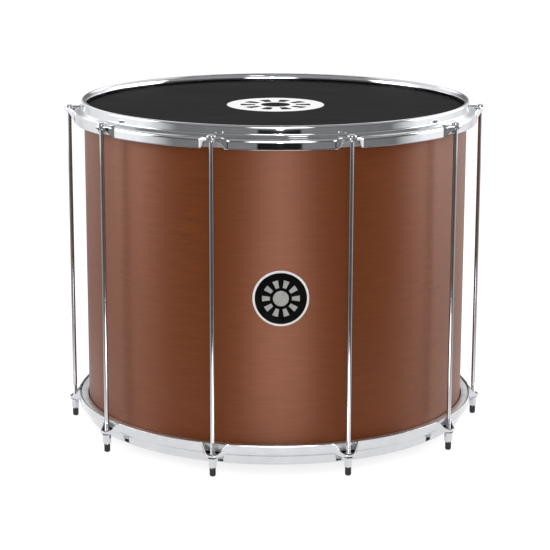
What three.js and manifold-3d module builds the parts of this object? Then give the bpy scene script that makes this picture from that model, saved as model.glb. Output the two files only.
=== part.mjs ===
import * as THREE from 'three';
import { mergeVertices } from 'three/addons/utils/BufferGeometryUtils.js';
import Module from 'manifold-3d';

const wasm = await Module();
wasm.setup();

// A surdo: a wide two-headed drum whose two steel hoops are drawn together by ten full-length
// tension rods. Millimetres. The drum's axis is Z, its badge faces -Y and it stands on z = 0
// on the rubber tips of its rods. Both ends of the drum are alike, and turned towards each other.

const CLEARANCE = 0.3; // between two pieces that seat on each other
const CUT_OVERRUN = 2; // how far a cutter runs past the face that it cuts

const ROD_COUNT = 10;
const RING_SIDES = 5 * ROD_COUNT; // so that each rod stands at the middle of a side of the rings
const ROD_SIDES = 8; // of the rods and what is turned to go on them
const NUT_SIDES = 6;
const BADGE_SIDES = 24;

const SHELL_RADIUS = 279;
const SHELL_WALL = 7.2;
const SHELL_HEIGHT = 445;
const BEARING_CREST = 1.6; // flat crest of the edge that the head lies on
const EDGE_EASE = 1.2; // chamfer outside the crest

const FILM_THICKNESS = 0.9;
const FILM_LIP = 3; // the film's turned-out edge, held in the flesh hoop
const FILM_LIP_HEIGHT = 4.6; // of the turned-out edge over the flesh hoop's lower face

const FLESH_HOOP_WIDTH = 10.2;
const FLESH_HOOP_HEIGHT = 11.6;
const FLESH_HOOP_CHAMFER = 1.5;

const SHEET = 1.8; // steel that both counter hoops are pressed from
const HOOP_HEIGHT = 31; // free edge to lip
const BAND_HEIGHT = 12; // outer band, round the flesh hoop
const SHOULDER_RISE = 6.5; // from the outer band to the inner band
const LIP_WIDTH = 8.9; // rolled in from the inner band
const LIP_DROP = 8.6; // lip's inner edge below its top
const LIP_EDGE_RADIUS = 3;
const BAND_PLAY = 1; // outer band to flesh hoop
const COLLAR_PLAY = 0.6; // inner band to head collar
const HEAD_RECESS = 11.3; // playing face below the lip
const SHOULDER_SHARES = [[0.17, 0.4], [0.69, 0.74]]; // of the shoulder's width and rise
const LIP_OUTER_SHARES = [0, 0.5, 1]; // of the quarter turn up to the lip's top
const LIP_INNER_SHARES = [0.33, 0.67, 1]; // of the quarter turn down from it

const ROD_STANDOFF = 7.5; // rod axis outside the outer band
const EAR_NOSE = 7.8; // ear's nose outside the rod axis
const EAR_HALF_WIDTH = 21; // along the band
const EAR_CROWN_HALF_WIDTH = 3; // flat front of the nose
const EAR_PLATE_RISE = 5; // ear's outer face over the outer band's edge
const EAR_PLATE_HALF_WIDTH = 12;
const EAR_ROOT_HALF_WIDTH = 10;
const EAR_ROOT_SHARE = 0.17; // of the shoulder's width
const EAR_FLANK_STEPS = 4;
const NOTCH_TOP_DROP = 2; // lip left hanging at the nose, below the ear plate
const NOTCH_OUTLINE = [ // half width, height over the band's free edge
  { halfWidth: 17, height: 0 },
  { halfWidth: 12, height: 9.6 },
];
const NOTCH_TOP_HALF_WIDTH = 6.5;

const ROD_RADIUS = 3;
const ROD_NECK_RADIUS = 4.9;
const ROD_NECK_LENGTH = 7;
const ROD_HEAD_RADIUS = 6.3;
const ROD_HEAD_EDGE = 0.9;
const ROD_HEAD_DOME = 2.5;
const DOME_SHOULDER_SHARES = [0.68, 0.7]; // of the head's radius and the dome's height

const WASHER_RADIUS = 6.8;
const WASHER_THICKNESS = 1.2;
const NUT_ACROSS_FLATS = 10;
const NUT_HEIGHT = 13;
const NUT_BEVEL = 0.6;
const NUT_TRAVEL = 1.25; // how far a slackened nut may run down its rod

const TIP_RADIUS = 4.3;
const TIP_HEIGHT = 11.4;
const TIP_FLOOR = 3;
const TIP_SOLE_RADIUS = 1.8;
const TIP_ROUND = 2.5; // height of the rounded end

const BADGE_RADIUS = 38.5;
const BADGE_THICKNESS = 1;
const BADGE_HEIGHT = SHELL_HEIGHT / 2; // centre, over the shell's lower edge

// Radii that follow from one another, from the shell outwards.
const collarRadius = SHELL_RADIUS + CLEARANCE + FILM_THICKNESS;
const fleshInner = collarRadius + CLEARANCE;
const fleshOuter = fleshInner + FLESH_HOOP_WIDTH;
const innerBandRadius = collarRadius + COLLAR_PLAY + SHEET;
const outerBandRadius = fleshOuter + BAND_PLAY + SHEET;
const rodCircle = outerBandRadius + ROD_STANDOFF;
const noseRadius = rodCircle + EAR_NOSE;
const bandFlat = outerBandRadius * Math.cos(Math.PI / RING_SIDES);
const earRoot = innerBandRadius + EAR_ROOT_SHARE * (outerBandRadius - innerBandRadius);
const earHoleRadius = (ROD_NECK_RADIUS + CLEARANCE) / Math.cos(Math.PI / ROD_SIDES);
const slideFitRadius = (ROD_RADIUS + CLEARANCE) / Math.cos(Math.PI / ROD_SIDES);

// Heights over the shell's end, along the way out of the drum.
const playingFace = CLEARANCE + FILM_THICKNESS;
const lipHeight = playingFace + HEAD_RECESS;
const hoopBase = lipHeight - HOOP_HEIGHT;

// Heights over a hoop's free edge.
const earFace = BAND_HEIGHT + EAR_PLATE_RISE;
const lipBase = HOOP_HEIGHT - LIP_EDGE_RADIUS;
const lipUnderside = HOOP_HEIGHT - LIP_DROP;

// Heights over the floor, up the stack that hangs under each lower ear.
const rodEnd = TIP_FLOOR + CLEARANCE;
const nutBase = TIP_HEIGHT + CLEARANCE + NUT_TRAVEL;
const washerBase = nutBase + NUT_HEIGHT + CLEARANCE;
const lowerEarFace = washerBase + WASHER_THICKNESS + CLEARANCE;
const shellBottom = lowerEarFace + earFace + hoopBase;
const shellTop = shellBottom + SHELL_HEIGHT;
const upperEarFace = shellTop + hoopBase + earFace;

// Angles of the rods round the drum, from the front, and the two rods nearest the badge
// stand half a pitch from it.
const rodAngles = Array.from({ length: ROD_COUNT }, (_, i) => ((i + 0.5) * 2 * Math.PI) / ROD_COUNT);

const point = (x, y) => new THREE.Vector2(x, y);

// Materials

function finish(colour, roughness, metalness) {
  return new THREE.MeshStandardMaterial({ color: colour, roughness, metalness });
}

const stainedWood = () => finish(0x7a4529, 0.42, 0);
const chrome = () => finish(0xd8dadc, 0.12, 1);
const brushedAluminium = () => finish(0xb8babc, 0.38, 1);
const blackFilm = () => finish(0x232323, 0.62, 0);
const blackRubber = () => finish(0x151515, 0.8, 0);
const badgeEnamel = () => finish(0x0d0d0e, 0.22, 0);

// Solids

// Turns an outline of radius and height about Z, and starts the turn at the front.
function revolve(outline, sides) {
  return new THREE.LatheGeometry(outline, sides).rotateX(Math.PI / 2);
}

// A ring's outline runs up its outside and down its inside, and closes on its first point.
function revolveRing(outline, sides = RING_SIDES) {
  return revolve([...outline, outline[0]], sides);
}

// Stands an outline seen from above, of width across the front and distance from the axis, on z = bottom.
function standUp(plan, bottom, top) {
  const shape = new THREE.Shape(plan.map((p) => point(p.x, -p.y)));
  const geometry = new THREE.ExtrudeGeometry(shape, { depth: top - bottom, bevelEnabled: false });
  return geometry.translate(0, 0, bottom);
}

// Drives an outline seen from the front, of width and height, outwards from one radius to another.
function driveOut(elevation, innerRadius, outerRadius) {
  const shape = new THREE.Shape(elevation);
  const options = { depth: outerRadius - innerRadius, bevelEnabled: false };
  return new THREE.ExtrudeGeometry(shape, options).rotateX(Math.PI / 2).translate(0, -innerRadius, 0);
}

function toSolid(geometry) {
  const bare = geometry.clone();
  bare.deleteAttribute('normal');
  bare.deleteAttribute('uv');
  const merged = mergeVertices(bare);
  const mesh = new wasm.Mesh({
    numProp: 3,
    vertProperties: merged.attributes.position.array,
    triVerts: Uint32Array.from(merged.index.array),
  });
  return new wasm.Manifold(mesh);
}

function toGeometry(solid) {
  const mesh = solid.getMesh();
  const geometry = new THREE.BufferGeometry();
  geometry.setAttribute('position', new THREE.BufferAttribute(mesh.vertProperties, mesh.numProp));
  geometry.setIndex(new THREE.BufferAttribute(mesh.triVerts, 1));
  geometry.computeVertexNormals();
  return geometry;
}

// One solid of a shape at the front, repeated at every rod.
function atEveryRod(geometry) {
  const copies = rodAngles.map((angle) => toSolid(geometry.clone().rotateZ(angle)));
  return copies.reduce((joined, copy) => joined.add(copy));
}

// Outlines

// Shifts an open outline sideways, to the left of the way it runs.
function offsetOutline(outline, distance) {
  const normals = outline.slice(1).map((p, i) => {
    const along = p.clone().sub(outline[i]).normalize();
    return point(-along.y, along.x);
  });
  return outline.map((p, i) => {
    const before = normals[Math.max(i - 1, 0)];
    const after = normals[Math.min(i, normals.length - 1)];
    const mitre = before.clone().add(after).divideScalar(1 + before.dot(after));
    return p.clone().addScaledVector(mitre, distance);
  });
}

// Height of an outline where it crosses a radius.
function heightAt(outline, radius) {
  const end = outline.findIndex((p, i) => i > 0 && p.x <= radius && outline[i - 1].x > radius);
  const [from, to] = [outline[end - 1], outline[end]];
  return from.y + ((to.y - from.y) * (radius - from.x)) / (to.x - from.x);
}

const mirrored = (half) => [...half, ...half.map((p) => point(-p.x, p.y)).reverse()];

// Outer face of the hoop's sheet, from its free edge to the foot of the lip.
function hoopFace() {
  const width = outerBandRadius - innerBandRadius;
  const shoulder = SHOULDER_SHARES.map(([across, up]) =>
    point(outerBandRadius - across * width, BAND_HEIGHT + up * SHOULDER_RISE));
  return [
    point(outerBandRadius, 0),
    point(outerBandRadius, BAND_HEIGHT),
    ...shoulder,
    point(innerBandRadius, BAND_HEIGHT + SHOULDER_RISE),
    point(innerBandRadius, lipBase),
  ];
}

// The lip rolls over its top, slopes down inside and closes on the band's inner face.
function lipOutline() {
  const top = innerBandRadius - LIP_EDGE_RADIUS;
  const slope = LIP_WIDTH - LIP_EDGE_RADIUS;
  const outside = LIP_OUTER_SHARES.map((share) => (share * Math.PI) / 2).map((angle) =>
    point(top + LIP_EDGE_RADIUS * Math.cos(angle), lipBase + LIP_EDGE_RADIUS * Math.sin(angle)));
  const inside = LIP_INNER_SHARES.map((share) => (share * Math.PI) / 2).map((angle) =>
    point(top - slope * Math.sin(angle), lipUnderside + LIP_DROP * Math.cos(angle)));
  return [...outside, ...inside, point(innerBandRadius - SHEET, lipUnderside)];
}

// The ear seen from above: a bell that swells from the band to its nose.
function bellOutline() {
  const sunk = SHEET / 2;
  const swell = noseRadius - bandFlat + sunk;
  const right = Array.from({ length: EAR_FLANK_STEPS + 1 }, (_, i) => {
    const share = i / EAR_FLANK_STEPS;
    const across = EAR_CROWN_HALF_WIDTH + share * (EAR_HALF_WIDTH - EAR_CROWN_HALF_WIDTH);
    const bulge = (swell * (1 + Math.cos(Math.PI * share))) / 2 - sunk;
    return point(across, bandFlat + bulge);
  });
  return mirrored(right.reverse()).reverse();
}

// The ear seen from the front: flanks that rise from the band to the flat plate.
function roofOutline() {
  return mirrored([
    point(EAR_HALF_WIDTH, 0),
    point(EAR_HALF_WIDTH, BAND_HEIGHT),
    point(EAR_PLATE_HALF_WIDTH, earFace),
  ]);
}

// Sub-parts. Those of an end of the drum are drawn over the shell's end.

function shellGeometry() {
  const inner = SHELL_RADIUS - SHELL_WALL;
  const crest = SHELL_RADIUS - EDGE_EASE - BEARING_CREST;
  const bevel = crest - inner;
  return revolveRing([
    point(SHELL_RADIUS - EDGE_EASE, 0),
    point(SHELL_RADIUS, EDGE_EASE),
    point(SHELL_RADIUS, SHELL_HEIGHT - EDGE_EASE),
    point(SHELL_RADIUS - EDGE_EASE, SHELL_HEIGHT),
    point(crest, SHELL_HEIGHT),
    point(inner, SHELL_HEIGHT - bevel),
    point(inner, bevel),
    point(crest, 0),
  ]);
}

// The sheet of a hoop and, in it, ten pressed ears with open pockets for the rods.
function hoopGeometry() {
  const face = hoopFace();
  const back = offsetOutline(face, SHEET);
  const profile = [...face.slice(0, -1), ...lipOutline(), ...back.slice(0, -1).reverse()];
  const ears = atEveryRod(earBlock());
  const cuts = atEveryRod(earPocket()).add(atEveryRod(earNotch())).add(atEveryRod(earHole()));
  return toGeometry(toSolid(revolveRing(profile)).add(ears).subtract(cuts)).translate(0, 0, hoopBase);
}

function earBlock() {
  const root = [point(EAR_ROOT_HALF_WIDTH, earRoot), point(-EAR_ROOT_HALF_WIDTH, earRoot)];
  const plan = standUp([...bellOutline(), ...root], 0, earFace);
  const roof = driveOut(roofOutline(), earRoot, noseRadius + CUT_OVERRUN);
  return toGeometry(toSolid(plan).intersect(toSolid(roof)).subtract(insideOfSheet()));
}

// The room for the flesh hoop, out to the middle of the hoop's sheet.
function insideOfSheet() {
  const middle = offsetOutline(hoopFace(), SHEET / 2).slice(1, -1);
  const below = [middle.at(-1), middle[0]].map((p) => point(p.x, -CUT_OVERRUN));
  return toSolid(revolveRing([...middle, ...below]));
}

function earPocket() {
  const innerRadius = earRoot - CUT_OVERRUN;
  const bell = offsetOutline(bellOutline(), -SHEET);
  const root = [point(EAR_HALF_WIDTH, innerRadius), point(-EAR_HALF_WIDTH, innerRadius)];
  const plan = standUp([...bell, ...root], -CUT_OVERRUN, earFace);
  const inner = offsetOutline(roofOutline(), SHEET);
  const below = [point(inner.at(-1).x, -2 * CUT_OVERRUN), point(inner[0].x, -2 * CUT_OVERRUN)];
  const roof = driveOut([...inner, ...below], innerRadius - CUT_OVERRUN, noseRadius);
  return toGeometry(toSolid(plan).intersect(toSolid(roof)));
}

// The nose is open below the plate, and only a narrow lip hangs in front of the rod.
function earNotch() {
  const top = point(NOTCH_TOP_HALF_WIDTH, earFace - SHEET - NOTCH_TOP_DROP);
  const sides = NOTCH_OUTLINE.map(({ halfWidth, height }) => point(halfWidth, height));
  const below = point(NOTCH_OUTLINE[0].halfWidth, -CUT_OVERRUN);
  return driveOut(mirrored([below, ...sides, top]), outerBandRadius - SHEET, noseRadius + CUT_OVERRUN);
}

function earHole() {
  const depth = SHEET + 2 * CUT_OVERRUN;
  const hole = new THREE.CylinderGeometry(earHoleRadius, earHoleRadius, depth, ROD_SIDES);
  return hole.rotateX(Math.PI / 2).translate(0, -rodCircle, earFace - SHEET / 2);
}

// The flesh hoop bears on the underside of the hoop's shoulder.
function fleshHoopTop() {
  const seat = offsetOutline(hoopFace(), SHEET);
  const atChamfer = heightAt(seat, fleshOuter - FLESH_HOOP_CHAMFER);
  const atEdge = heightAt(seat, fleshOuter) + FLESH_HOOP_CHAMFER;
  return hoopBase + Math.min(atChamfer, atEdge) - CLEARANCE;
}

function fleshHoopGeometry() {
  const top = fleshHoopTop();
  const bottom = top - FLESH_HOOP_HEIGHT;
  const grooveRadius = fleshInner + FILM_LIP;
  const grooveBottom = bottom + FILM_LIP_HEIGHT - CLEARANCE;
  const grooveTop = grooveBottom + FILM_THICKNESS + 2 * CLEARANCE;
  return revolveRing([
    point(fleshOuter, bottom),
    point(fleshOuter, top - FLESH_HOOP_CHAMFER),
    point(fleshOuter - FLESH_HOOP_CHAMFER, top),
    point(fleshInner, top),
    point(fleshInner, grooveTop),
    point(grooveRadius, grooveTop),
    point(grooveRadius, grooveBottom),
    point(fleshInner, grooveBottom),
    point(fleshInner, bottom),
  ]);
}

// The film lies on the bearing edge, turns down round the shell and out into the flesh hoop.
function filmGeometry() {
  const lipBottom = fleshHoopTop() - FLESH_HOOP_HEIGHT + FILM_LIP_HEIGHT;
  const lipTop = lipBottom + FILM_THICKNESS;
  const shellEdge = [
    point(0, 0),
    point(SHELL_RADIUS - EDGE_EASE, 0),
    point(SHELL_RADIUS, -EDGE_EASE),
    point(SHELL_RADIUS, lipBottom),
  ];
  const inside = offsetOutline(shellEdge, CLEARANCE);
  const outside = offsetOutline(shellEdge, playingFace).reverse();
  return revolve([
    ...inside,
    point(collarRadius + FILM_LIP, lipBottom),
    point(collarRadius + FILM_LIP, lipTop),
    point(collarRadius, lipTop),
    ...outside.slice(1),
  ], RING_SIDES);
}

// A rod hangs from its domed head, and is drawn over its own lower end.
function rodGeometry() {
  const seat = upperEarFace + CLEARANCE - rodEnd;
  const [domeRadius, domeRise] = DOME_SHOULDER_SHARES;
  const rim = seat + ROD_HEAD_EDGE;
  return revolve([
    point(0, 0),
    point(ROD_RADIUS, 0),
    point(ROD_RADIUS, seat - ROD_NECK_LENGTH),
    point(ROD_NECK_RADIUS, seat),
    point(ROD_HEAD_RADIUS, seat),
    point(ROD_HEAD_RADIUS, rim),
    point(domeRadius * ROD_HEAD_RADIUS, rim + domeRise * ROD_HEAD_DOME),
    point(0, rim + ROD_HEAD_DOME),
  ], ROD_SIDES);
}

function washerGeometry() {
  return revolveRing([
    point(WASHER_RADIUS, 0),
    point(WASHER_RADIUS, WASHER_THICKNESS),
    point(slideFitRadius, WASHER_THICKNESS),
    point(slideFitRadius, 0),
  ], ROD_SIDES);
}

function circlePath(Path, radius, sides) {
  const corners = Array.from({ length: sides }, (_, i) => {
    const angle = (i * 2 * Math.PI) / sides;
    return point(radius * Math.cos(angle), radius * Math.sin(angle));
  });
  return new Path(corners);
}

function nutGeometry() {
  const corner = NUT_ACROSS_FLATS / 2 / Math.cos(Math.PI / NUT_SIDES);
  const hexagon = circlePath(THREE.Shape, corner, NUT_SIDES);
  hexagon.holes.push(circlePath(THREE.Path, slideFitRadius, ROD_SIDES));
  const nut = new THREE.ExtrudeGeometry(hexagon, {
    depth: NUT_HEIGHT - 2 * NUT_BEVEL,
    bevelThickness: NUT_BEVEL,
    bevelSize: NUT_BEVEL,
    bevelOffset: -NUT_BEVEL,
    bevelSegments: 1,
  });
  return nut.translate(0, 0, NUT_BEVEL);
}

// A rubber tip is a cap over the rod's end, round below with a small flat sole.
function tipGeometry() {
  const bore = ROD_RADIUS + CLEARANCE;
  const round = TIP_RADIUS - TIP_SOLE_RADIUS;
  return revolve([
    point(0, 0),
    point(TIP_SOLE_RADIUS, 0),
    point(TIP_SOLE_RADIUS + round * Math.SQRT1_2, TIP_ROUND * (1 - Math.SQRT1_2)),
    point(TIP_RADIUS, TIP_ROUND),
    point(TIP_RADIUS, TIP_HEIGHT),
    point(bore, TIP_HEIGHT),
    point(bore, TIP_FLOOR),
    point(0, TIP_FLOOR),
  ], ROD_SIDES);
}

// The badge is a round plate, curved to the shell.
function badgeGeometry() {
  const inner = SHELL_RADIUS + CLEARANCE;
  const outer = inner + BADGE_THICKNESS;
  const band = revolveRing([
    point(outer, -BADGE_RADIUS - CUT_OVERRUN),
    point(outer, BADGE_RADIUS + CUT_OVERRUN),
    point(inner, BADGE_RADIUS + CUT_OVERRUN),
    point(inner, -BADGE_RADIUS - CUT_OVERRUN),
  ]);
  const punch = new THREE.CylinderGeometry(BADGE_RADIUS, BADGE_RADIUS, BADGE_RADIUS, BADGE_SIDES);
  return toGeometry(toSolid(band).intersect(toSolid(punch.translate(0, -SHELL_RADIUS, 0))));
}

// Assembly

function addPiece(group, name, geometry, material, height = 0) {
  const mesh = new THREE.Mesh(geometry, material);
  mesh.name = name;
  mesh.position.z = height;
  group.add(mesh);
  return mesh;
}

// One end of the drum: its counter hoop, head film and flesh hoop.
function drumEnd(prefix, geometries) {
  const end = new THREE.Group();
  addPiece(end, `${prefix}_hoop`, geometries.hoop, chrome());
  addPiece(end, `${prefix}_head_film`, geometries.film, blackFilm());
  addPiece(end, `${prefix}_flesh_hoop`, geometries.fleshHoop, brushedAluminium());
  return end;
}

// The fittings of one rod, standing on its own axis.
function rodSet(number, geometries) {
  const set = new THREE.Group();
  addPiece(set, `tension_rod_${number}`, geometries.rod, chrome(), rodEnd);
  addPiece(set, `rubber_tip_${number}`, geometries.tip, blackRubber());
  addPiece(set, `tuning_nut_${number}`, geometries.nut, chrome(), nutBase);
  addPiece(set, `rod_washer_${number}`, geometries.washer, chrome(), washerBase);
  return set;
}

function surdo() {
  const drum = new THREE.Group();
  addPiece(drum, 'shell', shellGeometry(), stainedWood(), shellBottom);
  addPiece(drum, 'shell_badge', badgeGeometry(), badgeEnamel(), shellBottom + BADGE_HEIGHT);

  const endPieces = { hoop: hoopGeometry(), film: filmGeometry(), fleshHoop: fleshHoopGeometry() };
  const top = drumEnd('top', endPieces);
  top.position.z = shellTop;
  const bottom = drumEnd('bottom', endPieces);
  bottom.position.z = shellBottom;
  bottom.rotation.x = Math.PI;
  drum.add(top, bottom);

  const rodPieces = { rod: rodGeometry(), tip: tipGeometry(), nut: nutGeometry(), washer: washerGeometry() };
  rodAngles.forEach((angle, i) => {
    const set = rodSet(String(i + 1).padStart(2, '0'), rodPieces);
    set.position.set(rodCircle * Math.sin(angle), -rodCircle * Math.cos(angle), 0);
    set.rotation.z = angle;
    drum.add(set);
  });
  return drum;
}

export default surdo();
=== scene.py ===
import math

import bpy
import numpy as np
from mathutils import Matrix, Vector


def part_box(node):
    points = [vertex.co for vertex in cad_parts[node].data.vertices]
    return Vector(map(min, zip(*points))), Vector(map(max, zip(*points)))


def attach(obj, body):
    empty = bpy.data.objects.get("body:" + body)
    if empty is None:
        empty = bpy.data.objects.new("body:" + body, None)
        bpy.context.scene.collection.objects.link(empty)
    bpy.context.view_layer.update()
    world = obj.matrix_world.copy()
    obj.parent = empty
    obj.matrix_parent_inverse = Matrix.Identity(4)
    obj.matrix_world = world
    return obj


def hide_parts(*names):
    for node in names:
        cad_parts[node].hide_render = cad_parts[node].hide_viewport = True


# A surdo on a pale studio floor. Every solid of the frame is replaced by a finer mesh of the same
# sizes. Metres. The drum's axis is Z, its badge faces -Y, and it stands on z = 0.

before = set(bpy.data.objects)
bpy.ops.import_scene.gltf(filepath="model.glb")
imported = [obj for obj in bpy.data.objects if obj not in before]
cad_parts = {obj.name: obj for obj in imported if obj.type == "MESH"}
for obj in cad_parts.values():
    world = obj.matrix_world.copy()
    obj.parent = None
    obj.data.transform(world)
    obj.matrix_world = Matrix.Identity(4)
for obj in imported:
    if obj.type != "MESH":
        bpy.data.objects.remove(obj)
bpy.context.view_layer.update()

MM = 0.001
ROD_COUNT = 10
TURN = 2 * math.pi
ROUND_SIDES = 288
SMALL_SIDES = 40
SHARP_ANGLE = math.radians(38)

# Sizes that the CAD model fixes.
SHELL_RADIUS = 279.0 * MM
SHELL_WALL = 7.2 * MM
BEARING_CREST = 1.6 * MM
EDGE_EASE = 1.2 * MM
COLLAR_RADIUS = 280.2 * MM
FILM_THICKNESS = 0.9 * MM
FILM_GAP = 0.3 * MM
FILM_LIP_RADIUS = 283.2 * MM
FILM_LIP_RISE = 4.6 * MM
FLESH_INNER = 280.5 * MM
FLESH_OUTER = 290.7 * MM
INNER_BAND = 282.6 * MM
OUTER_BAND = 293.5 * MM
SHEET = 1.8 * MM
BAND_HEIGHT = 12.0 * MM
SHOULDER_TOP = 18.5 * MM
EAR_FACE = 17.0 * MM
HOOP_HEIGHT = 31.0 * MM
LIP_EDGE_RADIUS = 3.0 * MM
LIP_INNER = 273.7 * MM
LIP_UNDERSIDE = 22.4 * MM
ROD_CIRCLE = 301.0 * MM
NOSE_RADIUS = 308.8 * MM
EAR_HALF_WIDTH = 21.0 * MM
EAR_CROWN = 3.0 * MM
EAR_PLATE = 12.0 * MM
EAR_HOLE = 5.2 * MM
ROD_RADIUS = 3.0 * MM
NECK_RADIUS = 4.9 * MM
NECK_LENGTH = 7.0 * MM
HEAD_RADIUS = 6.3 * MM
HEAD_EDGE = 0.9 * MM
HEAD_DOME = 2.5 * MM
NUT_FLATS = 10.0 * MM
BORE = 3.3 * MM
WASHER_RADIUS = 6.8 * MM
TIP_RADIUS = 4.3 * MM
TIP_FLOOR = 3.0 * MM
BADGE_RADIUS = 38.5 * MM
BADGE_THICKNESS = 1.0 * MM


# Mesh code

def smooth(share):
    """From 0 to 1, level at both ends."""
    share = np.clip(share, 0.0, 1.0)
    return share * share * (3 - 2 * share)


def around(radius, angle, height):
    """A point at an angle from the front."""
    return (radius * math.sin(angle), -radius * math.cos(angle), height)


def swept(radii, angles, heights):
    """The same for arrays."""
    return np.stack([radii * np.sin(angles), -radii * np.cos(angles), heights], axis=-1)


def rod_angle(k):
    """Where rod k stands, counted from the front."""
    return (k + 0.5) * TURN / ROD_COUNT


def on_curve(start, corner, end, share):
    """A point of the curve from start to end that stays inside the corner."""
    return start * (1 - share) ** 2 + corner * 2 * share * (1 - share) + end * share * share


def rounded(points, reach, steps=5):
    """An open outline with each inner corner turned into a curve that starts at most reach before it."""
    points = [np.array(p, float) for p in points]
    out = [points[0]]
    for before, corner, after in zip(points, points[1:], points[2:]):
        into = corner - before
        onto = after - corner
        lengths = np.linalg.norm(into), np.linalg.norm(onto)
        if min(lengths) < 1e-9:
            continue
        start = corner - into / lengths[0] * min(reach, lengths[0] * 0.45)
        end = corner + onto / lengths[1] * min(reach, lengths[1] * 0.45)
        for share in np.linspace(0, 1, steps):
            out.append(on_curve(start, corner, end, share))
    out.append(points[-1])
    return out


def rounded_ring(points, reach, steps=4):
    """The same for an outline that closes on its first point."""
    middle = (np.array(points[0]) + np.array(points[-1])) / 2
    return rounded([middle, *points, middle], reach, steps)[:-1]


def resampled(path, count):
    """count points at equal distances along an open path."""
    path = np.array(path, float)
    lengths = np.linalg.norm(np.diff(path, axis=0), axis=1)
    along = np.concatenate([[0], np.cumsum(lengths)])
    wanted = np.linspace(0, along[-1], count)
    return np.stack([np.interp(wanted, along, path[:, k]) for k in range(path.shape[1])], axis=1)


def grid_faces(rows, columns, close_rows, close_columns):
    """Quads between neighbouring rows and columns of a grid that is stored row by row."""
    faces = []
    for i in range(rows if close_rows else rows - 1):
        here = i * columns
        below = (i + 1) % rows * columns
        for j in range(columns if close_columns else columns - 1):
            beside = (j + 1) % columns
            faces.append((here + j, here + beside, below + beside, below + j))
    return faces


def fan(centre, start, sides, forward):
    """Triangles from a centre to the closed ring of points that begins at start."""
    faces = []
    for j in range(sides):
        here = start + j
        beside = start + (j + 1) % sides
        faces.append((centre, here, beside) if forward else (centre, beside, here))
    return faces


def turned(outline, sides, closed):
    """Turns an outline of radius and height about Z. Ends on the axis become single points."""
    outline = [np.array(p, float) for p in outline]
    head = outline[0] if outline[0][0] < 1e-9 else None
    tail = outline[-1] if outline[-1][0] < 1e-9 else None
    rings = outline[1 if head is not None else 0:-1 if tail is not None else None]
    angles = np.arange(sides) * TURN / sides
    vertices = [around(r, a, z) for r, z in rings for a in angles]
    faces = grid_faces(len(rings), sides, closed, True)
    if head is not None:
        vertices.append((0, 0, head[1]))
        faces += fan(len(vertices) - 1, 0, sides, False)
    if tail is not None:
        vertices.append((0, 0, tail[1]))
        faces += fan(len(vertices) - 1, (len(rings) - 1) * sides, sides, True)
    return vertices, faces


def new_object(name, data):
    """An object in the scene."""
    thing = bpy.data.objects.new(name, data)
    bpy.context.scene.collection.objects.link(thing)
    return thing


def new_mesh(name, vertices, faces):
    mesh = bpy.data.meshes.new(name)
    mesh.from_pydata([tuple(v) for v in vertices], [], faces)
    return mesh


def shade(mesh):
    """Smooth faces, with the edges between steep ones kept sharp."""
    mesh.shade_smooth()
    mesh.set_sharp_from_angle(angle=SHARP_ANGLE)


def add_piece(name, shape, materials, nodes, body, slot, choose=None, place=(0, 0, 0), turn=0.0):
    """A smooth mesh that replaces CAD nodes and moves with a body. choose gives a face's material."""
    mesh = new_mesh(name, *shape)
    for material in materials:
        mesh.materials.append(material)
    if choose is not None:
        for polygon in mesh.polygons:
            polygon.material_index = choose(polygon.center)
    shade(mesh)
    mesh.validate()
    piece = new_object(name, mesh)
    piece.location = place
    piece.rotation_euler[2] = turn
    bpy.context.view_layer.update()
    fix_outward(mesh)
    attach(piece, body)
    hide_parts(*nodes)
    return piece


def signed_volume(mesh):
    """Six times the volume inside a closed mesh, below nought where its faces point inward."""
    mesh.calc_loop_triangles()
    total = 0.0
    points = mesh.vertices
    for triangle in mesh.loop_triangles:
        a, b, c = (points[i].co for i in triangle.vertices)
        total += a.dot(b.cross(c))
    return total


def fix_outward(mesh):
    """Faces of a closed mesh point out of it."""
    if signed_volume(mesh) < 0:
        mesh.flip_normals()


# Materials

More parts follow.
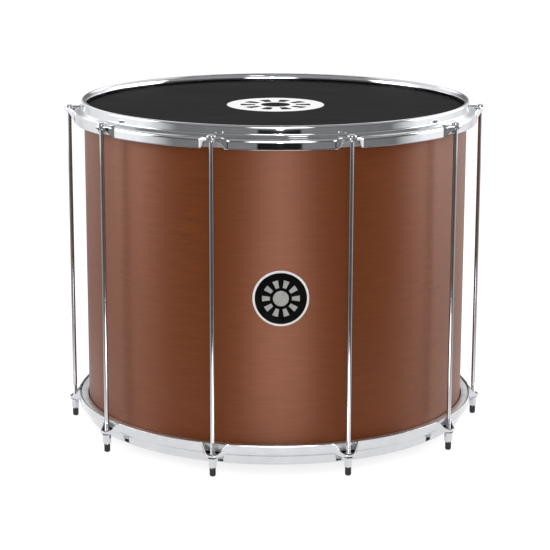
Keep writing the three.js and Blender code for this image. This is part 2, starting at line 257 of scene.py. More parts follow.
class Nodes:
    """A node material with the principled shader ready, and short ways to add nodes to it."""

    def __init__(self, name):
        self.material = bpy.data.materials.new(name)
        self.material.use_nodes = True
        self.tree = self.material.node_tree
        self.shader = self.tree.nodes["Principled BSDF"]

    def add(self, kind, **values):
        node = self.tree.nodes.new(kind)
        for key, value in values.items():
            setattr(node, key, value)
        return node

    def put(self, value, socket):
        """Links the output of another node to a socket, or sets the socket to a constant."""
        if isinstance(value, bpy.types.NodeSocket):
            self.tree.links.new(value, socket)
        else:
            socket.default_value = value

    def surface(self, **values):
        """Fills sockets of the shader. The space in a socket's name is written as _."""
        for name, value in values.items():
            self.put(value, self.shader.inputs[name.replace("_", " ")])

    def coordinates(self, stretch):
        """Object coordinates in metres, stretched along each axis."""
        source = self.add("ShaderNodeTexCoord")
        mapping = self.add("ShaderNodeMapping")
        mapping.inputs["Scale"].default_value = stretch
        self.put(source.outputs["Object"], mapping.inputs["Vector"])
        return mapping.outputs["Vector"]

    def noise(self, scale, detail=4.0, roughness=0.55, stretch=(1, 1, 1)):
        """A noise over the piece's own coordinates."""
        node = self.add("ShaderNodeTexNoise")
        node.inputs["Scale"].default_value = scale
        node.inputs["Detail"].default_value = detail
        node.inputs["Roughness"].default_value = roughness
        self.put(self.coordinates(stretch), node.inputs["Vector"])
        return node.outputs["Fac"]

    def spread(self, value, low, high, source_low=0.3, source_high=0.7):
        """Maps a noise value to a range."""
        node = self.add("ShaderNodeMapRange")
        node.inputs["From Min"].default_value = source_low
        node.inputs["From Max"].default_value = source_high
        node.inputs["To Min"].default_value = low
        node.inputs["To Max"].default_value = high
        self.put(value, node.inputs["Value"])
        return node.outputs["Result"]

    def blend(self, factor, first, second):
        """A colour between two, by a factor from 0 to 1."""
        node = self.add("ShaderNodeMix", data_type="RGBA")
        for socket, value in ((0, factor), (6, first), (7, second)):
            self.put(value, node.inputs[socket])
        return node.outputs[2]

    def calculate(self, operation, first, second):
        node = self.add("ShaderNodeMath", operation=operation)
        self.put(first, node.inputs[0])
        self.put(second, node.inputs[1])
        return node.outputs[0]

    def bump(self, height, distance, strength):
        node = self.add("ShaderNodeBump")
        node.inputs["Strength"].default_value = strength
        node.inputs["Distance"].default_value = distance
        self.put(height, node.inputs["Height"])
        return node.outputs["Normal"]


def colour(r, g, b):
    """A colour of screen values 0 to 255 as a linear one."""
    def linear(v):
        v = v / 255
        return v / 12.92 if v <= 0.04045 else ((v + 0.055) / 1.055) ** 2.4
    return (linear(r), linear(g), linear(b), 1.0)


def grey(value):
    return (value, value, value, 1)


def stained_wood():
    """Brown stained veneer, its fine grain running round the shell, under a satin lacquer."""
    n = Nodes("stained_wood")
    streaks = n.noise(26.0, detail=6.0, roughness=0.62, stretch=(1, 1, 34))
    fine = n.noise(90.0, detail=5.0, roughness=0.7, stretch=(0.6, 0.6, 24))
    clouds = n.noise(5.5, detail=3.0, roughness=0.5, stretch=(1, 1, 2.2))
    tone = n.blend(n.spread(streaks, 0, 1), colour(98, 45, 7), colour(126, 64, 14))
    tone = n.blend(n.spread(clouds, 0, 0.55), tone, colour(114, 51, 6))
    tone = n.blend(n.spread(fine, 0.0, 0.28, 0.5, 0.75), tone, colour(76, 34, 6))
    tangent = n.add("ShaderNodeTangent", direction_type="RADIAL", axis="Z")
    n.surface(Base_Color=tone, Roughness=n.spread(fine, 0.45, 0.52), Normal=n.bump(fine, 0.05 * MM, 0.5))
    n.surface(Tangent=tangent.outputs["Tangent"], Anisotropic=0.75, Anisotropic_Rotation=0.25)
    n.surface(Metallic=0.25, Specular_IOR_Level=0.55)
    return n.material


def raw_wood():
    """Bare ply inside the shell and on its bearing edges."""
    n = Nodes("raw_wood")
    streaks = n.noise(30.0, detail=5.0, roughness=0.6, stretch=(1, 1, 18))
    plies = n.noise(12.0, detail=2.0, roughness=0.5)
    tone = n.blend(n.spread(streaks, 0, 1), colour(176, 138, 96), colour(198, 163, 120))
    tone = n.blend(n.spread(plies, 0, 0.3), tone, colour(150, 112, 74))
    n.surface(Base_Color=tone, Roughness=n.spread(streaks, 0.55, 0.7))
    n.surface(Normal=n.bump(streaks, 0.1 * MM, 0.4))
    return n.material


def chrome(name, smudge=0.04):
    """Bright chrome plate, faintly clouded by handling and not perfectly even."""
    n = Nodes(name)
    clouds = n.noise(38.0, detail=4.0, roughness=0.6)
    waves = n.noise(45.0, detail=1.0, roughness=0.5)
    specks = n.noise(900.0, detail=3.0, roughness=0.6)
    polish = 0.04
    clouded = n.spread(clouds, polish, polish + smudge)
    rough = n.calculate("ADD", clouded, n.spread(specks, 0.0, 0.02, 0.45, 0.8))
    tone = n.blend(n.spread(clouds, 0, 1), colour(201, 202, 206), colour(210, 211, 214))
    n.surface(Base_Color=tone, Roughness=rough, Normal=n.bump(waves, 0.02 * MM, 0.3), Metallic=1.0)
    return n.material


def brushed_aluminium():
    """Rolled aluminium section, brushed along its length."""
    n = Nodes("brushed_aluminium")
    lines = n.noise(60.0, detail=4.0, roughness=0.6, stretch=(1, 1, 40))
    tone = n.blend(n.spread(lines, 0, 1), colour(206, 207, 208), colour(226, 227, 228))
    n.surface(Base_Color=tone, Roughness=n.spread(lines, 0.28, 0.4), Normal=n.bump(lines, 0.02 * MM, 0.4))
    n.surface(Metallic=0.9)
    return n.material


def film(name, light, dark):
    """Matt plastic film with the fine even tooth of a drum head."""
    n = Nodes(name)
    tooth = n.noise(1400.0, detail=3.0, roughness=0.6)
    haze = n.noise(9.0, detail=4.0, roughness=0.55, stretch=(0.5, 2.2, 1))
    strands = n.noise(160.0, detail=4.0, roughness=0.6, stretch=(0.12, 1.6, 1))
    tone = n.blend(n.spread(haze, 0, 1), dark, light)
    tone = n.blend(n.spread(strands, 0, 0.35), tone, light)
    n.surface(Base_Color=tone, Roughness=n.spread(strands, 0.6, 0.69), Normal=n.bump(tooth, 0.03 * MM, 0.5))
    n.surface(Specular_IOR_Level=0.02)
    return n.material


def rubber():
    """Black moulded rubber, a little dusty."""
    n = Nodes("black_rubber")
    dust = n.noise(260.0, detail=5.0, roughness=0.65)
    grain = n.noise(2200.0, detail=3.0, roughness=0.6)
    tone = n.blend(n.spread(dust, 0, 1), colour(12, 12, 12), colour(27, 27, 28))
    n.surface(Base_Color=tone, Roughness=n.spread(dust, 0.5, 0.66), Normal=n.bump(grain, 0.03 * MM, 0.5))
    return n.material


def dark_washer_metal():
    """Dark metal for the washers, worn a little lighter in places."""
    n = Nodes("dark_washer_metal")
    wear = n.noise(400.0, detail=4.0, roughness=0.6)
    tone = n.blend(n.spread(wear, 0, 1), colour(24, 24, 25), colour(38, 38, 40))
    n.surface(Base_Color=tone, Roughness=n.spread(wear, 0.3, 0.42), Metallic=1.0)
    return n.material


def enamel(name, low, high, rough, gloss=0.5):
    """A glossy printed plate, very slightly uneven."""
    n = Nodes(name)
    clouds = n.noise(70.0, detail=3.0, roughness=0.5)
    ripple = n.noise(300.0, detail=2.0, roughness=0.5)
    tone = n.blend(n.spread(clouds, 0, 1), low, high)
    roughness = n.spread(clouds, rough, rough + 0.08)
    n.surface(Base_Color=tone, Roughness=roughness, Normal=n.bump(ripple, 0.01 * MM, 0.3))
    n.surface(Specular_IOR_Level=gloss)
    return n.material


# Shell

SHELL_ROUND = 0.5 * MM


def build_shell(wood, inside):
    """A tube with a bevelled bearing edge at each end, stained outside and bare inside."""
    low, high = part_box("shell")
    bottom, top = low.z, high.z
    skin = SHELL_RADIUS - EDGE_EASE
    crest = skin - BEARING_CREST
    inner = SHELL_RADIUS - SHELL_WALL
    bevel = crest - inner
    outline = [
        (skin, bottom), (SHELL_RADIUS, bottom + EDGE_EASE),
        (SHELL_RADIUS, top - EDGE_EASE), (skin, top),
        (crest, top), (inner, top - bevel), (inner, bottom + bevel), (crest, bottom),
    ]

    def choose(centre):
        return 0 if math.hypot(centre.x, centre.y) > skin else 1

    shape = turned(rounded_ring(outline, SHELL_ROUND), ROUND_SIDES, True)
    add_piece("drum_shell", shape, [wood, inside], ["shell"], "root", "shell_wood", choose)


# Printed mark: a core, and ten short rays about it, one for each rod

MARK_CORE_SHARE = 0.3
MARK_GAP_SHARE = 0.42
MARK_RIM_SHARE = 0.72
MARK_SIDES = 8 * ROD_COUNT
RAY_START = 0.25
RAY_END = 0.75


def mark_radii(radius):
    """Where the mark's edges lie, out to the edge of its ground."""
    return [radius * share for share in (MARK_CORE_SHARE, MARK_GAP_SHARE, MARK_RIM_SHARE, 1.0)]


def in_mark(x, y, radius):
    """Whether a point lies on the core or on a ray."""
    distance = math.hypot(x, y) / radius
    if distance < MARK_CORE_SHARE:
        return True
    share = (math.atan2(x, y) / TURN * ROD_COUNT) % 1
    return MARK_GAP_SHARE < distance < MARK_RIM_SHARE and RAY_START < share < RAY_END


# Heads

PRINT_RADIUS = 71.0 * MM
FACE_SHARES = (0.5, 0.85)
FACE_EDGE_SHARE = 0.97
FACE_BACK_SHARE = 0.9
COLLAR_SLOPE = 0.3 * MM
COLLAR_START = 2.0 * MM
COLLAR_BEVEL = 1.2 * MM
COLLAR_ROUND = 0.6 * MM
FACE_TOLERANCE = 0.01 * MM


def film_outline(end, lip_bottom):
    """From the middle of the playing face round the turned-down collar and back to the middle.
    Heights are over the shell's end, along the way out of the drum."""
    outer = FILM_GAP + FILM_THICKNESS
    marks = mark_radii(PRINT_RADIUS) if end == "top" else []
    face = [(r, outer) for r in [0.0, *marks, *(SHELL_RADIUS * share for share in FACE_SHARES)]]
    lip_top = lip_bottom + FILM_THICKNESS
    inside = COLLAR_RADIUS - FILM_THICKNESS
    edge = [
        (FACE_EDGE_SHARE * SHELL_RADIUS, outer), (COLLAR_RADIUS - COLLAR_SLOPE, outer),
        (COLLAR_RADIUS, -COLLAR_START), (COLLAR_RADIUS, lip_top),
        (FILM_LIP_RADIUS, lip_top), (FILM_LIP_RADIUS, lip_bottom),
        (inside, lip_bottom), (inside, -COLLAR_BEVEL),
        (inside - COLLAR_BEVEL, FILM_GAP), (FACE_BACK_SHARE * SHELL_RADIUS, FILM_GAP),
    ]
    return face + rounded(edge, COLLAR_ROUND) + [(0.0, FILM_GAP)]


def build_head(end, blank, white, black):
    """A head film. The top one carries a printed disc with the mark."""
    shell_low, shell_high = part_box("shell")
    flesh_low, flesh_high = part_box(f"{end}_flesh_hoop")
    up = 1 if end == "top" else -1
    base = shell_high.z if up > 0 else shell_low.z
    lip = (flesh_low.z - base if up > 0 else base - flesh_high.z) + FILM_LIP_RISE
    outline = [(r, base + up * h) for r, h in film_outline(end, lip)]
    face_level = outline[0][1]

    def choose(centre):
        on_face = abs(centre.z - face_level) < FACE_TOLERANCE
        if not on_face or math.hypot(centre.x, centre.y) > PRINT_RADIUS:
            return 0
        return 2 if in_mark(centre.x, centre.y, PRINT_RADIUS) else 1

    add_piece(f"{end}_film", turned(outline, 4 * MARK_SIDES, False), [blank, white, black],
              [f"{end}_head_film"], "root", "head_film", choose if end == "top" else None)


FLESH_CHAMFER = 1.5 * MM
FLESH_GROOVE = 3.0 * MM
FLESH_ROUND = 0.45 * MM


def build_flesh_hoop(end, metal):
    """A ring with a groove for the film's edge."""
    low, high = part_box(f"{end}_flesh_hoop")
    shut, opening = (low.z, high.z) if end == "top" else (high.z, low.z)
    up = 1 if end == "top" else -1
    groove_low = shut + up * (FILM_LIP_RISE - FILM_GAP)
    groove_high = groove_low + up * (FILM_THICKNESS + 2 * FILM_GAP)
    groove = FLESH_INNER + FLESH_GROOVE
    outline = [
        (FLESH_OUTER, shut), (FLESH_OUTER, opening - up * FLESH_CHAMFER),
        (FLESH_OUTER - FLESH_CHAMFER, opening), (FLESH_INNER, opening),
        (FLESH_INNER, groove_high), (groove, groove_high),
        (groove, groove_low), (FLESH_INNER, groove_low), (FLESH_INNER, shut),
    ]
    shape = turned(rounded_ring(outline, FLESH_ROUND, 3), ROUND_SIDES, True)
    add_piece(f"{end}_head_ring", shape, [metal], [f"{end}_flesh_hoop"], "root", "flesh_hoop_metal")


# Counter hoops

# Each is one sheet, from the free edge over the outer band and the shoulder to the inner band and the
# rolled lip. In an ear the outer band swells to the nose and the shoulder flattens to a plate.

SHOULDER = np.array([(OUTER_BAND, BAND_HEIGHT), (291.65 * MM, 14.6 * MM), (285.98 * MM, 16.81 * MM),
                     (INNER_BAND, SHOULDER_TOP)])
SHOULDER_JOIN = 284.6 * MM
SHOULDER_FILLET = 2.9 * MM
PLATE_MARGIN = 0.2 * MM
FOOT_FILLET = 1.4 * MM
EDGE_ROUND = 0.45 * MM
LIP_ROOT_DEPTH = 0.5 * MM
LIP_ROOT_ROUND = 0.8 * MM
PUNCH_REACH = 3.0 * MM

# The notch in an ear's free edge: millimetres across and up.
NOTCH = [(-17.0, 0.0), (-12.0, 9.6), (-6.5, 13.2), (6.5, 13.2), (12.0, 9.6), (17.0, 0.0)]
NOTCH_ROUND = 2.6 * MM

EAR_COLUMNS = 54
BAND_COLUMNS = 26
BAND_ROWS = 6
BEND_ROWS = 26


def on_shoulder(radius):
    """Height of the shoulder at a radius."""
    return np.interp(-radius, -SHOULDER[:, 0], SHOULDER[:, 1])


def ear_columns():
    """Across and free-edge height of each column of the sheet over one ear."""
    notch = [(across * MM, up * MM) for across, up in NOTCH]
    corners = [(-EAR_HALF_WIDTH, 0.0), *notch, (EAR_HALF_WIDTH, 0.0)]
    return resampled(rounded(corners, NOTCH_ROUND, 7), EAR_COLUMNS)


def ear_nose(across):
    """How far the outer face stands from the axis, in the plane of the rod."""
    share = np.clip((abs(across) - EAR_CROWN) / (EAR_HALF_WIDTH - EAR_CROWN), 0, 1)
    band = math.sqrt(OUTER_BAND ** 2 - across ** 2)
    return band + (NOSE_RADIUS - OUTER_BAND) * (1 + math.cos(math.pi * share)) / 2


def column_profile(radius, free_edge, plate):
    """The outer face in one column, as radius and height over the free edge's level."""
    crossing = np.interp(plate, SHOULDER[:, 1], SHOULDER[:, 0])
    flat = [(radius, free_edge), (radius, plate), (crossing, plate)]
    beyond = [tuple(p) for p in SHOULDER if p[1] > plate + PLATE_MARGIN and p[0] > SHOULDER_JOIN]
    join = (SHOULDER_JOIN, on_shoulder(SHOULDER_JOIN))
    if crossing > radius - 1e-6:
        flat = flat[:-1]
    path = np.array(rounded([*flat, *beyond, join], SHOULDER_FILLET, 9))
    bend_start = np.argmax(path[:, 1] > max(plate - SHOULDER_FILLET, free_edge) + 1e-7)
    straight = resampled([path[0], path[max(bend_start - 1, 1)]], BAND_ROWS)
    bend = resampled(path[max(bend_start - 1, 1):], BEND_ROWS)
    corner = (INNER_BAND, SHOULDER_TOP)
    foot = rounded([join, corner, (INNER_BAND, LIP_UNDERSIDE)], FOOT_FILLET, 6)
    return np.vstack([straight[:-1], bend[:-1], foot])


def hoop_columns():
    """Direction and outer profile of every column round the hoop."""
    columns = []
    pitch = TURN / ROD_COUNT
    edge = math.asin(EAR_HALF_WIDTH / OUTER_BAND)
    plain = column_profile(OUTER_BAND, 0.0, BAND_HEIGHT)
    for k in range(ROD_COUNT):
        rod = (k + 0.5) * pitch
        for across, free_edge in ear_columns():
            nose = ear_nose(across)
            rise = smooth((EAR_HALF_WIDTH - abs(across)) / (EAR_HALF_WIDTH - EAR_PLATE))
            plate = BAND_HEIGHT + (EAR_FACE - BAND_HEIGHT) * rise
            profile = column_profile(math.hypot(nose, across), max(free_edge, 0.0), plate)
            columns.append((rod + math.atan2(across, nose), profile))
        for step in range(1, BAND_COLUMNS):
            columns.append((rod + edge + (pitch - 2 * edge) * step / BAND_COLUMNS, plain))
    return columns


def sheet_normals(points):
    """Normals of a closed grid of points, rows down and columns round."""
    down = np.gradient(points, axis=0)
    across = (np.roll(points, -1, axis=1) - np.roll(points, 1, axis=1)) / 2
    normals = np.cross(down, across)
    return normals / np.linalg.norm(normals, axis=2, keepdims=True)


def hoop_grid():
    """All points of a hoop, rows in order round its section and columns round the drum."""
    columns = hoop_columns()
    angles = np.array([a for a, _ in columns])
    section = np.stack([p for _, p in columns], axis=1)
    out = swept(section[..., 0], angles, section[..., 1])
    normals = sheet_normals(out)
    if normals[0, 0] @ np.array(around(1, angles[0], 0)) < 0:
        normals = -normals
    inner = out - normals * SHEET
    down = out[0] - out[1]
    down /= np.linalg.norm(down, axis=1, keepdims=True)
    base = out[0] - normals[0] * EDGE_ROUND
    lifted = out[0] - down * EDGE_ROUND
    far = inner[0] + normals[0] * EDGE_ROUND
    lifted_inner = inner[0] - down * EDGE_ROUND
    rows = [base, *arc_between(base, lifted, out[0]), lifted, *out[1:], *lip_rows(angles), *inner[:0:-1],
            lifted_inner, *arc_between(lifted_inner, far, inner[0]), far]
    return np.stack(rows)


def arc_between(start, end, corner):
    """Three rows of a curve from start to end that stays inside the corner."""
    return [on_curve(start, corner, end, share) for share in (0.25, 0.5, 0.75)]


def lip_path():
    """Section of the rolled lip: up its outside, over the top, down its inside and back under it."""
    crown = INNER_BAND - LIP_EDGE_RADIUS
    width = crown - LIP_INNER
    drop = HOOP_HEIGHT - LIP_UNDERSIDE
    outside = [(crown + LIP_EDGE_RADIUS * math.cos(t), HOOP_HEIGHT - LIP_EDGE_RADIUS * (1 - math.sin(t)))
               for t in np.linspace(0, math.pi / 2, 9)]
    inside = [(crown - width * math.sin(t), LIP_UNDERSIDE + drop * math.cos(t))
              for t in np.linspace(0, math.pi / 2, 15)]
    root = (INNER_BAND - SHEET - LIP_ROOT_DEPTH, LIP_UNDERSIDE)
    under = rounded([inside[-2], inside[-1], root], LIP_ROOT_ROUND, 5)
    return outside + inside[1:-2] + [tuple(p) for p in under]


def lip_rows(angles):
    """The lip's path carried round the drum."""
    return [swept(radius, angles, np.full_like(angles, height)) for radius, height in lip_path()]


def punch_ear_holes(hoop, height):
    """Ten round holes through the ears' plates, for the rods' necks."""
    low = height - PUNCH_REACH
    high = height + PUNCH_REACH
    outline = [(0.0, low), (EAR_HOLE, low), (EAR_HOLE, high), (0.0, high)]
    points, quads = turned(outline, SMALL_SIDES, False)
    vertices = []
    faces = []
    for k in range(ROD_COUNT):
        start = len(vertices)
        across, along, _ = around(ROD_CIRCLE, rod_angle(k), 0)
        vertices += [(x + across, y + along, z) for x, y, z in points]
        faces += [tuple(start + i for i in face) for face in quads]
    mesh = new_mesh("punch", vertices, faces)
    fix_outward(mesh)
    punch = new_object("punch", mesh)
    cut = hoop.modifiers.new("holes", "BOOLEAN")
    cut.object = punch
    cut.operation = "DIFFERENCE"
    cut.solver = "EXACT"
    bpy.context.view_layer.update()
    evaluated = hoop.evaluated_get(bpy.context.evaluated_depsgraph_get())
    # The cut makes a new mesh, so its faces are tested again.
    made = bpy.data.meshes.new_from_object(evaluated)
    fix_outward(made)
    hoop.modifiers.clear()
    hoop.data = made
    bpy.data.objects.remove(punch)
    shade(made)


def build_hoop(end, grid, metal):
    """The sheet as it is for the top hoop, turned over for the bottom one, with its holes."""
    low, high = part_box(f"{end}_hoop")
    up = 1 if end == "top" else -1
    base = high.z - HOOP_HEIGHT if up > 0 else low.z + HOOP_HEIGHT
    points = grid.copy()
    points[..., 2] = base + up * points[..., 2]
    rows, columns = points.shape[:2]
    shape = points.reshape(-1, 3), grid_faces(rows, columns, True, True)
    hoop = add_piece(f"{end}_counter_hoop", shape, [metal], [f"{end}_hoop"], "root", "hoop_chrome")
    punch_ear_holes(hoop, base + up * (EAR_FACE - SHEET / 2))


# Rods and what sits on them

ROD_SIDES = 20
THREAD_PITCH = 1.0 * MM
THREAD_DEPTH = 0.32 * MM
THREAD_LENGTH = 46.0 * MM
THREAD_STEPS = 5
ROD_END_EASE = 0.3 * MM
ROD_ROUND = 0.35 * MM
NECK_EDGE = 0.6 * MM


def thread_rows(angles):
    """Rings of points up the threaded end, each ring's radius swinging in and out with the thread."""
    rows = []
    step = THREAD_PITCH / THREAD_STEPS
    for z in np.arange(0.0, THREAD_LENGTH, step):
        phase = (z / THREAD_PITCH - angles / TURN) % 1
        groove = np.abs(phase * 2 - 1)
        fade = smooth((THREAD_LENGTH - z) / (2 * THREAD_PITCH)) * smooth(z / THREAD_PITCH)
        ease = ROD_END_EASE if z < step / 2 else 0
        radii = ROD_RADIUS - THREAD_DEPTH * groove * fade - ease
        rows.append([around(r, a, z) for r, a in zip(radii, angles)])
    return rows


def rod_shape(length):
    """A rod with a threaded lower end, a conical neck and a low domed head."""
    seat = length - HEAD_DOME - HEAD_EDGE
    crown = seat + HEAD_EDGE + HEAD_DOME
    outline = [
        (ROD_RADIUS, THREAD_LENGTH + THREAD_PITCH), (ROD_RADIUS, seat - NECK_LENGTH),
        (NECK_RADIUS, seat - NECK_EDGE), (NECK_RADIUS, seat),
        (HEAD_RADIUS, seat), (HEAD_RADIUS, seat + HEAD_EDGE),
    ]
    upper = rounded(outline, ROD_ROUND, 4)
    for share in np.linspace(0.06, 0.97, 8):
        angle = share * math.pi / 2
        upper.append((HEAD_RADIUS * math.cos(angle), seat + HEAD_EDGE + HEAD_DOME * math.sin(angle)))
    angles = np.arange(ROD_SIDES) * TURN / ROD_SIDES
    rows = thread_rows(angles) + [[around(r, a, z) for a in angles] for r, z in upper]
    vertices = [point for row in rows for point in row] + [(0, 0, 0), (0, 0, crown)]
    foot, head = len(vertices) - 2, len(vertices) - 1
    faces = grid_faces(len(rows), ROD_SIDES, False, True)
    faces += fan(foot, 0, ROD_SIDES, True)
    faces += fan(head, (len(rows) - 1) * ROD_SIDES, ROD_SIDES, False)
    return vertices, faces


NUT_SIDES = 48
NUT_CORNER_DROP = 0.55 * MM
NUT_CORNER_MIDDLE = 0.25 * MM
NUT_FACE_INSET = 0.1 * MM
NUT_CORNER_REACH = 0.45 * MM
NUT_FLAT_MARGIN = 0.2 * MM
MOUTH_BEVEL = 0.3 * MM


def nut_shape(height):
    """A long hexagon nut, its corners turned down at both ends, bored through. A ring of points close to
    each turned-down corner keeps the long flats flat."""
    angles = np.arange(NUT_SIDES) * TURN / NUT_SIDES
    within = (angles + math.pi / 6) % (math.pi / 3) - math.pi / 6
    hexagon = NUT_FLATS / 2 / np.cos(within)
    cone = NUT_FLATS / 2 - NUT_FACE_INSET
    corner = np.minimum(hexagon, cone + NUT_CORNER_REACH)
    bore, mouth, face = (np.full(NUT_SIDES, radius) for radius in (BORE, BORE + MOUTH_BEVEL, cone))
    end = [
        (mouth, 0), (face, 0), (corner, NUT_CORNER_MIDDLE),
        (hexagon, NUT_CORNER_DROP), (hexagon, NUT_CORNER_DROP + NUT_FLAT_MARGIN),
    ]
    rows = end + [(radii, height - z) for radii, z in reversed(end)]
    rows += [(bore, height - MOUTH_BEVEL), (bore, MOUTH_BEVEL)]
    vertices = [around(r, a, z) for radii, z in rows for r, a in zip(radii, angles)]
    return vertices, grid_faces(len(rows), NUT_SIDES, True, True)


WASHER_ROUND = 0.3 * MM


def washer_shape(thickness):
    outline = [(WASHER_RADIUS, 0.0), (WASHER_RADIUS, thickness), (BORE, thickness), (BORE, 0.0)]
    return turned(rounded_ring(outline, WASHER_ROUND), SMALL_SIDES, True)


TIP_SIDES = 36
TIP_SOLE = 1.8 * MM
TIP_RISE = 2.6 * MM
TIP_LIP = 2.0 * MM
TIP_ROUND = 0.5 * MM


def tip_shape(height):
    """A rubber cap, open above for the rod's end and round below."""
    lip = height - TIP_LIP
    outer = [(0.0, 0.0), (TIP_SOLE, 0.0)]
    for share in np.linspace(0.15, 1, 7):
        angle = share * math.pi / 2
        radius = TIP_SOLE + (TIP_RADIUS - TIP_SOLE) * math.sin(angle)
        outer.append((radius, TIP_RISE * (1 - math.cos(angle))))
    rim = rounded([(TIP_RADIUS, lip), (TIP_RADIUS, height), (BORE, height), (BORE, lip)], TIP_ROUND)
    return turned(outer + rim + [(BORE, TIP_FLOOR), (0.0, TIP_FLOOR)], TIP_SIDES, False)


def build_rods(rod_metal, nut_metal, washer_metal, black):
    """One shape of each kind, built from its first node, at each of the ten places."""
    kinds = {
        "tension_rod": (rod_shape, rod_metal, "root", "rod_chrome"),
        "tuning_nut": (nut_shape, nut_metal, "nut", "nut_chrome"),
        "rod_washer": (washer_shape, washer_metal, "washer", "nut_chrome"),
        "rubber_tip": (tip_shape, black, "root", "black_rubber"),
    }
    boxes = {kind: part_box(f"{kind}_01") for kind in kinds}
    shapes = {kind: kinds[kind][0](high.z - low.z) for kind, (low, high) in boxes.items()}
    for k in range(ROD_COUNT):
        number = f"{k + 1:02d}"
        for kind, (_, material, body, slot) in kinds.items():
            rides_on = body if body == "root" else f"{body}_{number}"
            place = around(ROD_CIRCLE, rod_angle(k), boxes[kind][0].z)
            add_piece(f"fine_{kind}_{number}", shapes[kind], [material], [f"{kind}_{number}"],
                      rides_on, slot, place=place, turn=rod_angle(k))


# Badge

BADGE_BORDER = 3.0 * MM
BADGE_EASE = 0.35 * MM


def build_badge(black, white, pale):
    """A round plate bent to the shell, with a border and the mark."""
    low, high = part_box("shell_badge")
    level = (low.z + high.z) / 2
    back = SHELL_RADIUS + FILM_GAP
    mark = BADGE_RADIUS - BADGE_BORDER
    rings = [(r, BADGE_THICKNESS) for r in [*mark_radii(mark), BADGE_RADIUS - BADGE_EASE]]
    rings += [(BADGE_RADIUS, BADGE_THICKNESS - BADGE_EASE), (BADGE_RADIUS, 0.0)]
    vertices = []
    for radius, lift in rings:
        for j in range(MARK_SIDES):
            a = j * TURN / MARK_SIDES
            vertices.append(on_badge(radius * math.sin(a), radius * math.cos(a), back + lift, level))
    vertices += [on_badge(0, 0, back + BADGE_THICKNESS, level), on_badge(0, 0, back, level)]
    front, rear = len(vertices) - 2, len(vertices) - 1
    faces = grid_faces(len(rings), MARK_SIDES, False, True)
    faces += fan(front, 0, MARK_SIDES, False)
    faces += fan(rear, (len(rings) - 1) * MARK_SIDES, MARK_SIDES, True)

    def choose(centre):
        across = math.atan2(centre.x, -centre.y) * (back + BADGE_THICKNESS)
        up = centre.z - level
        if math.hypot(across, up) > mark:
            return 1
        return 2 if in_mark(across, up, mark) else 0

    add_piece("round_badge", (vertices, faces), [black, white, pale], ["shell_badge"], "root",
              "badge_enamel", choose)


def on_badge(across, up, radius, level):
    """A point of the plate, bent to the shell."""
    return around(radius, across / radius, level + up)


# Studio

def plain_object(name, vertices, faces, material):
    mesh = new_mesh(name, vertices, faces)
    mesh.materials.append(material)
    thing = new_object(name, mesh)
    return thing


def seen_rays(n):
    """One where the camera, a mirror or glass looks at the surface, nought for scattered light."""
    path = n.add("ShaderNodeLightPath")
    first = n.calculate("MAXIMUM", path.outputs["Is Camera Ray"], path.outputs["Is Glossy Ray"])
    return n.calculate("MAXIMUM", first, path.outputs["Is Transmission Ray"])


FLOOR_GLOW = 0.83
FLOOR_WHITE = 0.28
FLOOR_REACH = 9.0


def build_floor():
    """A pale floor that keeps a shadow, with a glow of its own that lights nothing."""
    n = Nodes("studio_floor")
    grain = n.noise(3.0, detail=2.0)
    tone = n.blend(n.spread(grain, 0, 1), grey(FLOOR_WHITE), grey(FLOOR_WHITE + 0.02))
    n.surface(Base_Color=tone, Roughness=1.0, Specular_IOR_Level=0.0, Emission_Color=grey(1))
    n.surface(Emission_Strength=n.calculate("MULTIPLY", seen_rays(n), FLOOR_GLOW))
    corners = [
        (-FLOOR_REACH, -FLOOR_REACH, 0), (FLOOR_REACH, -FLOOR_REACH, 0),
        (FLOOR_REACH, FLOOR_REACH, 0), (-FLOOR_REACH, FLOOR_REACH, 0),
    ]
    plain_object("floor", corners, [(0, 1, 2, 3)], n.material)


# Brightness of the soft wall round the drum, by degrees from the front: near the floor, higher than the
# drum, and at the wall's top. The peaks are a soft box at each side and a panel in front.
WALL_LOW = [
    (-180, 1.0), (-138, 0.9), (-132, 1.1), (-104, 1.3), (-80, 1.4), (-68, 0.9), (-57, 0.26), (0, 0.3),
    (64, 0.24), (74, 0.9), (84, 1.4), (104, 1.4), (132, 1.1), (138, 0.9), (180, 1.0),
]
WALL_HIGH = [
    (-180, 0.2), (-168, 0.25), (-150, 1.0), (-138, 1.1), (-110, 1.3), (-104, 6.0), (-80, 6.0),
    (-68, 0.12), (-17, 0.12), (-12, 5.0), (15, 5.0), (20, 0.12), (78, 0.12), (86, 6.2), (106, 6.2),
    (114, 2.4), (132, 2.6), (140, 1.1), (150, 1.0), (168, 0.25), (180, 0.2),
]
WALL_TOP = [
    (-180, 1.5), (-150, 1.5), (-138, 1.1), (-110, 1.3), (-104, 6.0), (-80, 6.0), (-68, 0.4),
    (-17, 0.45), (-12, 1.2), (15, 1.2), (20, 0.45), (78, 0.4), (86, 6.2), (106, 6.2), (114, 2.4),
    (132, 2.6), (140, 1.1), (150, 1.5), (180, 1.5),
]
WALL_LEVELS = [
    (0.0, WALL_LOW), (0.35, WALL_LOW), (0.6, WALL_HIGH), (1.05, WALL_HIGH),
    (1.3, WALL_TOP), (1.9, WALL_TOP),
]
WALL_RADIUS = 2.4

# Brightness of the ceiling behind the drum, by distance from its axis, and of all the rest of it.
CEILING_BACK = [(0.05, 0.3), (0.3, 0.1), (0.5, 0.1), (0.62, 0.4), (0.75, 0.12), (0.95, 1.0), (2.4, 1.0)]
CEILING_FRONT = 0.4
CEILING_BACK_DEGREES = 100

